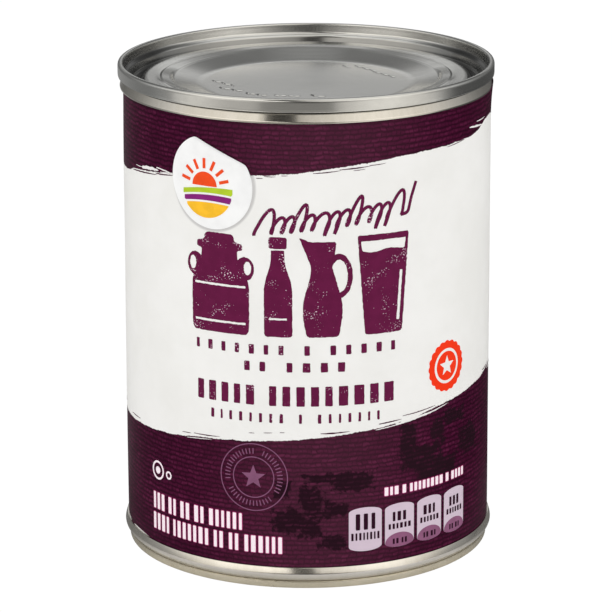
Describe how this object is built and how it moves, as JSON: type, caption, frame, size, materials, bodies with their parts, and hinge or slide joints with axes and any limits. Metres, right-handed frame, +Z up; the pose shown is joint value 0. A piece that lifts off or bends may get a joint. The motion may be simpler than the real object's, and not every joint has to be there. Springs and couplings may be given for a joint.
{
  "type": "evaporated milk can",
  "caption": "Small shut food can with a paper label, a double-seamed recessed lid and a necked-in base that nests in another can's lid.",
  "frame": {"origin": "middle of the underside, on the plane that the can stands on", "axes": "+Z up along the can's axis to the lid, the front of the label towards -Y, +X to the right of the front"},
  "size_m": [0.0748, 0.0748, 0.0979],
  "materials": {
    "tinplate_body": "bright tinplate with fine rolled scratches and soft reflections",
    "tinplate_lid": "satin tinplate, stamped rings, blurred reflections",
    "tinplate_base": "satin tinplate with a warm tint",
    "label_paper": "coated paper, semi-gloss, white with printed purple bands and a linen weave"
  },
  "bodies": {
    "root": {"body": "tinplate_body", "top_end": "tinplate_lid", "bottom_end": "tinplate_base", "label": "label_paper"}
  },
  "joints": []
}
